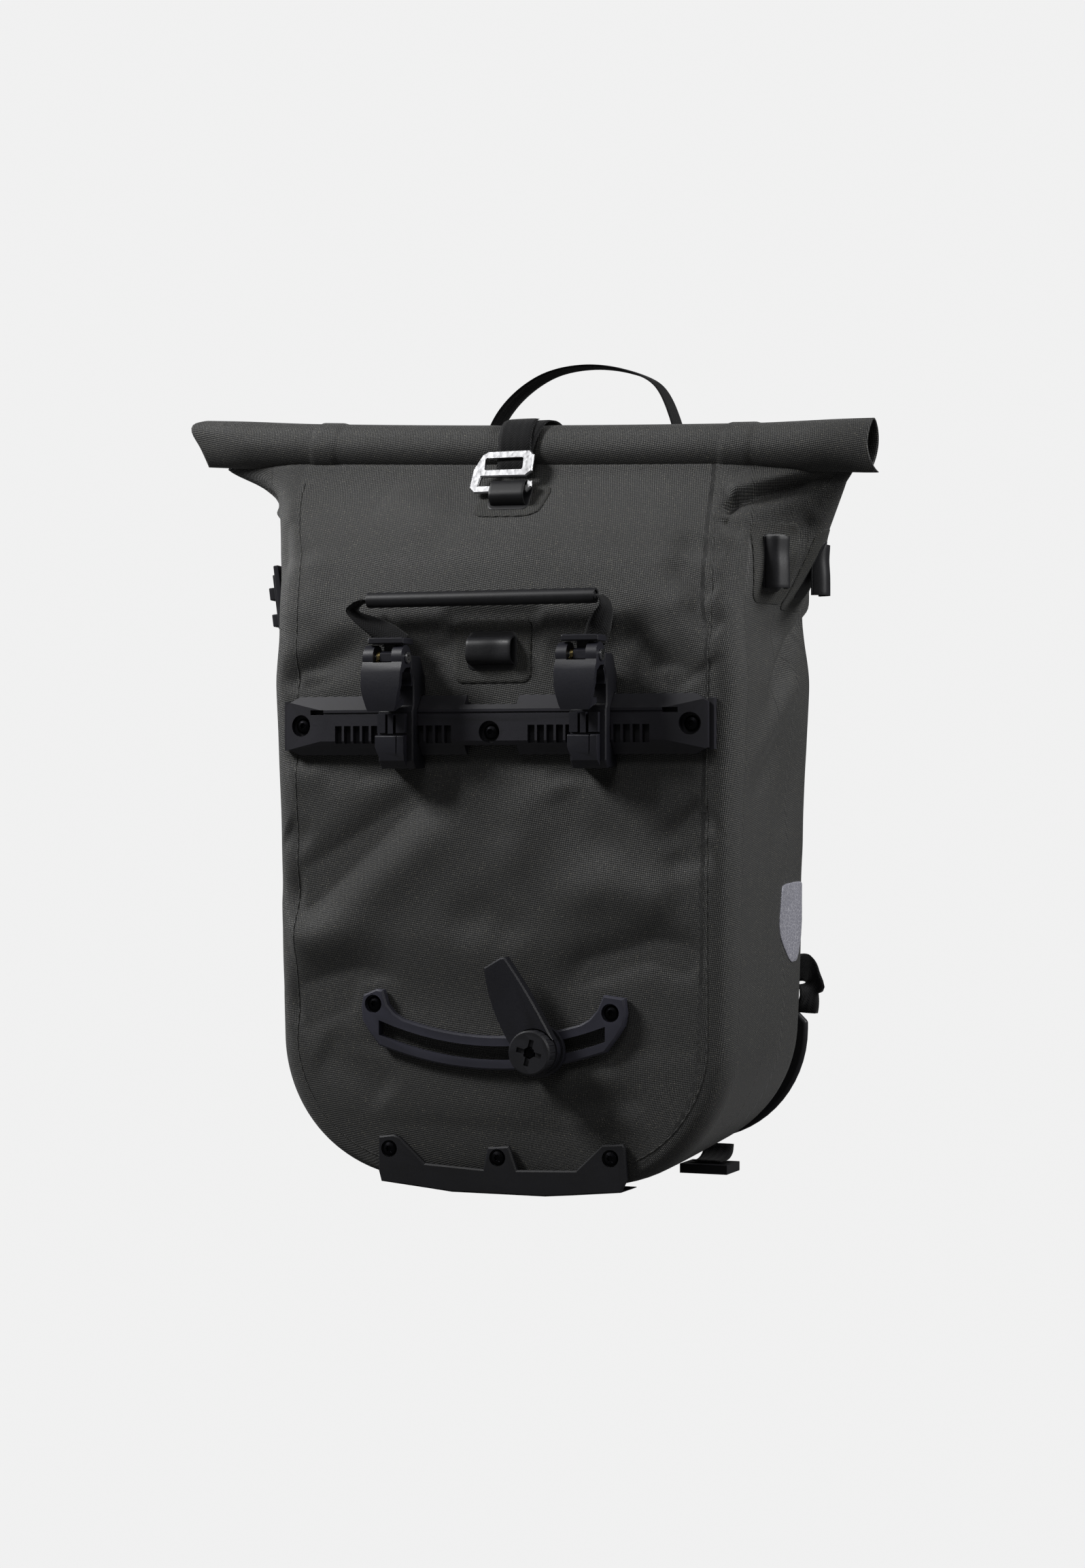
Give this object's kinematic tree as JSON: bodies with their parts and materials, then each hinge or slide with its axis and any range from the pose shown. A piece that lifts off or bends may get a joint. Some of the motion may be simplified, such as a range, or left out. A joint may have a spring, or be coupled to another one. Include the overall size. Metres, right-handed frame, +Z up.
{
  "type": "pannier bag",
  "caption": "Roll-top waterproof bicycle pannier with sliding rack hooks on a rail, release handle, swivelling lower foot, edge protector and stowed backpack straps.",
  "frame": {"origin": "middle of the footprint on the surface the bag stands on", "axes": "+Z up to the roll, +X to the right when facing the mounting rail, +Y from the mounting panel to the harness side"},
  "size_m": [0.488, 0.2404, 0.546],
  "materials": {
    "shell_fabric": "matt coated polyester weave, charcoal",
    "roll_fabric": "matt coated polyester weave, charcoal",
    "patch_fabric": "welded coated weave, charcoal",
    "board_plastic": "plain black sheet",
    "rail_plastic": "fine-textured black plastic",
    "hook_plastic": "fine-textured black plastic",
    "slate_plastic": "satin slate plastic",
    "guard_plastic": "satin black plastic",
    "knob_plastic": "satin black plastic, knurled",
    "buckle_plastic": "satin black plastic",
    "webbing": "black woven webbing",
    "rubber": "smooth matt black rubber",
    "foam_cover": "matt black padded mesh fabric",
    "bright_metal": "hammered bright aluminium",
    "pin_steel": "bright steel",
    "spring_brass": "plated spring wire",
    "screw_steel": "black zinc",
    "reflective": "grey retroreflective film"
  },
  "bodies": {
    "bag": {"bag_body": "shell_fabric", "roll_top": "roll_fabric", "stiffener_board": "board_plastic", "mounting_rail": "rail_plastic", "lug_plate": "rail_plastic", "lower_webbing_left": "webbing", "bottom_tab_left": "webbing", "shoulder_strap_left": "foam_cover", "strap_adjuster_left": "buckle_plastic", "bottom_buckle_left": "buckle_plastic", "reflector_left": "reflective", "lower_webbing_right": "webbing", "bottom_tab_right": "webbing", "shoulder_strap_right": "foam_cover", "strap_adjuster_right": "buckle_plastic", "bottom_buckle_right": "buckle_plastic", "reflector_right": "reflective", "rail_screw_1": "screw_steel", "rail_screw_2": "screw_steel", "rail_screw_3": "screw_steel", "lower_rail_screw_1": "screw_steel", "lower_rail_screw_2": "screw_steel", "protector_screw_1": "screw_steel", "protector_screw_2": "screw_steel", "protector_screw_3": "screw_steel", "lower_rail": "slate_plastic", "edge_protector": "guard_plastic", "back_frame": "guard_plastic", "closure_loop": "rubber", "gear_loop_front": "rubber", "gear_loop_side_front": "rubber", "gear_loop_side_rear": "rubber", "closure_strap": "webbing", "grab_handle": "webbing", "closure_patch": "patch_fabric", "gear_patch_front": "patch_fabric", "back_pad": "foam_cover"},
    "handle": {"handle_sleeve": "rubber", "handle_core": "webbing"},
    "handle_leg_left": {"handle_leg_left": "webbing"},
    "handle_leg_right": {"handle_leg_right": "webbing"},
    "foot_slider": {"foot_slider": "guard_plastic", "foot_bolt": "screw_steel"},
    "foot_finger": {"foot_finger": "hook_plastic"},
    "foot_knob": {"foot_knob": "knob_plastic"},
    "closure_hook": {"closure_hook": "bright_metal"},
    "hook_left": {"hook_left_body": "hook_plastic", "hook_left_insert": "hook_plastic", "hook_left_pin": "pin_steel", "hook_left_spring": "spring_brass"},
    "flap_left": {"hook_left_flap": "hook_plastic"},
    "latch_left": {"hook_left_latch": "hook_plastic"},
    "hook_right": {"hook_right_body": "hook_plastic", "hook_right_insert": "hook_plastic", "hook_right_pin": "pin_steel", "hook_right_spring": "spring_brass"},
    "flap_right": {"hook_right_flap": "hook_plastic"},
    "latch_right": {"hook_right_latch": "hook_plastic"}
  },
  "joints": [
    {"name": "hook_left_slide", "type": "slide", "parent": "bag", "child": "hook_left", "axis": [1, 0, 0], "range_m": [-0.013, 0.013]},
    {"name": "latch_left_turn", "type": "hinge", "parent": "hook_left", "child": "latch_left", "pos_m": [-0.0615, -0.1002, 0.2789], "axis": [1, 0, 0], "range_deg": [0, 35], "stiffness_Nm_per_rad": 0.02},
    {"name": "hook_right_slide", "type": "slide", "parent": "bag", "child": "hook_right", "axis": [1, 0, 0], "range_m": [-0.013, 0.013]},
    {"name": "latch_right_turn", "type": "hinge", "parent": "hook_right", "child": "latch_right", "pos_m": [0.072, -0.1002, 0.2789], "axis": [1, 0, 0], "range_deg": [0, 35], "stiffness_Nm_per_rad": 0.02},
    {"name": "handle_lift", "type": "slide", "parent": "bag", "child": "handle", "axis": [0, 0, 1], "range_m": [0, 0.008], "stiffness_N_per_m": 600},
    {"name": "flap_left_open", "type": "hinge", "parent": "hook_left", "child": "flap_left", "pos_m": [-0.0615, -0.1096, 0.3469], "axis": [-1, 0, 0], "range_deg": [0, 38]},
    {"name": "handle_leg_left_tilt", "type": "hinge", "parent": "handle", "child": "handle_leg_left", "pos_m": [-0.0854, -0.0916, 0.3854], "axis": [0, -1, 0], "range_deg": [-13.71, 13.71]},
    {"name": "flap_right_open", "type": "hinge", "parent": "hook_right", "child": "flap_right", "pos_m": [0.072, -0.1096, 0.3469], "axis": [-1, 0, 0], "range_deg": [0, 38]},
    {"name": "handle_leg_right_tilt", "type": "hinge", "parent": "handle", "child": "handle_leg_right", "pos_m": [0.0784, -0.0916, 0.3854], "axis": [0, -1, 0], "range_deg": [-23.09, 23.09]},
    {"name": "foot_slide", "type": "hinge", "parent": "bag", "child": "foot_slider", "pos_m": [0.0005, -0.0776, 0.3154], "axis": [0, -1, 0], "range_deg": [-26, 8]},
    {"name": "foot_turn", "type": "hinge", "parent": "foot_slider", "child": "foot_finger", "pos_m": [0.036, -0.0896, 0.0943], "axis": [0, 1, 0], "continuous": true},
    {"name": "knob_turn", "type": "hinge", "parent": "foot_slider", "child": "foot_knob", "pos_m": [0.036, -0.1016, 0.0943], "axis": [0, 1, 0], "continuous": true},
    {"name": "closure_hook_swing", "type": "hinge", "parent": "bag", "child": "closure_hook", "pos_m": [-0.006, -0.0415, 0.4834], "axis": [-1, 0, 0], "range_deg": [0, 3]}
  ],
  "couplings": [
    {"joint": "flap_left_open", "follows": "handle_lift", "rad_per_m": 82.903},
    {"joint": "handle_leg_left_tilt", "follows": "hook_left_slide", "rad_per_m": -18.4},
    {"joint": "flap_right_open", "follows": "handle_lift", "rad_per_m": 82.903},
    {"joint": "handle_leg_right_tilt", "follows": "hook_right_slide", "rad_per_m": -31}
  ]
}
